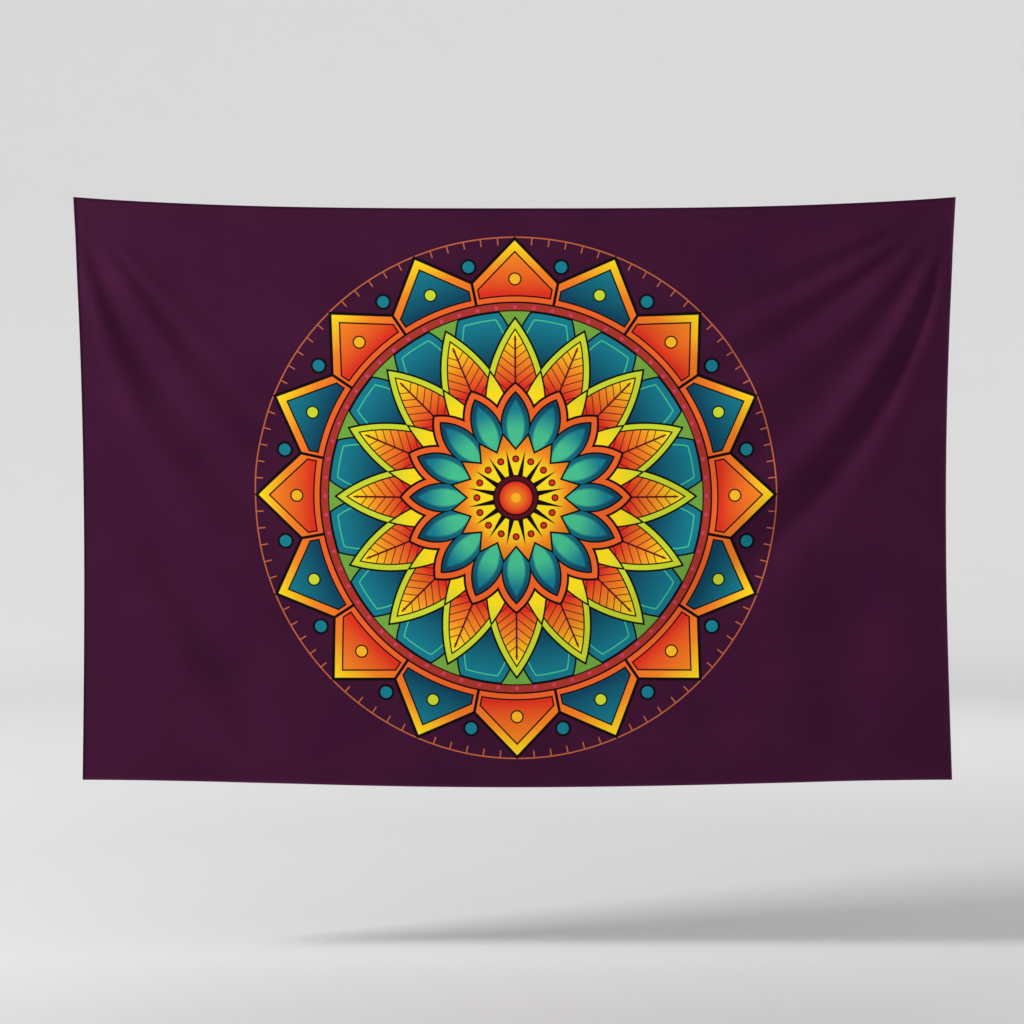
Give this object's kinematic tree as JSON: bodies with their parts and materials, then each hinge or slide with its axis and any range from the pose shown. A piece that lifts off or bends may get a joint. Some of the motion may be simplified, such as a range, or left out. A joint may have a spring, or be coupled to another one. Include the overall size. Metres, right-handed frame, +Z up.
{
  "type": "tapestry wall hanging",
  "caption": "Rectangular printed cloth wall hanging with hemmed edges, a round mandala print and a tape-held hanging ring behind each top corner.",
  "frame": {"origin": "midway between the centres of the two hanging rings, in the rings' own middle plane", "axes": "+X to the right seen from the front, +Z up, -Y out of the printed front, +Y towards the wall"},
  "size_m": [1.524, 0.0097, 1.019],
  "materials": {
    "printed_cloth": "matte",
    "cloth_back": "matte",
    "sewing_thread": "satin",
    "woven_tape": "matte",
    "ring_metal": "satin"
  },
  "bodies": {
    "cloth": {"printed_panel": "printed_cloth", "top_hem": "cloth_back", "bottom_hem": "cloth_back", "left_hem": "cloth_back", "right_hem": "cloth_back", "top_seam_thread": "sewing_thread", "bottom_seam_thread": "sewing_thread", "left_seam_thread": "sewing_thread", "right_seam_thread": "sewing_thread", "left_tab": "woven_tape", "right_tab": "woven_tape", "left_tab_tacks": "sewing_thread", "right_tab_tacks": "sewing_thread"},
    "left_ring": {"left_ring": "ring_metal"},
    "right_ring": {"right_ring": "ring_metal"}
  },
  "joints": [
    {"name": "left_ring_flip", "type": "hinge", "parent": "cloth", "child": "left_ring", "pos_m": [-0.747, 0, -0.0175], "axis": [-1, 0, 0], "range_deg": [0, 175]},
    {"name": "right_ring_flip", "type": "hinge", "parent": "cloth", "child": "right_ring", "pos_m": [0.747, 0, -0.0175], "axis": [-1, 0, 0], "range_deg": [0, 175]}
  ]
}
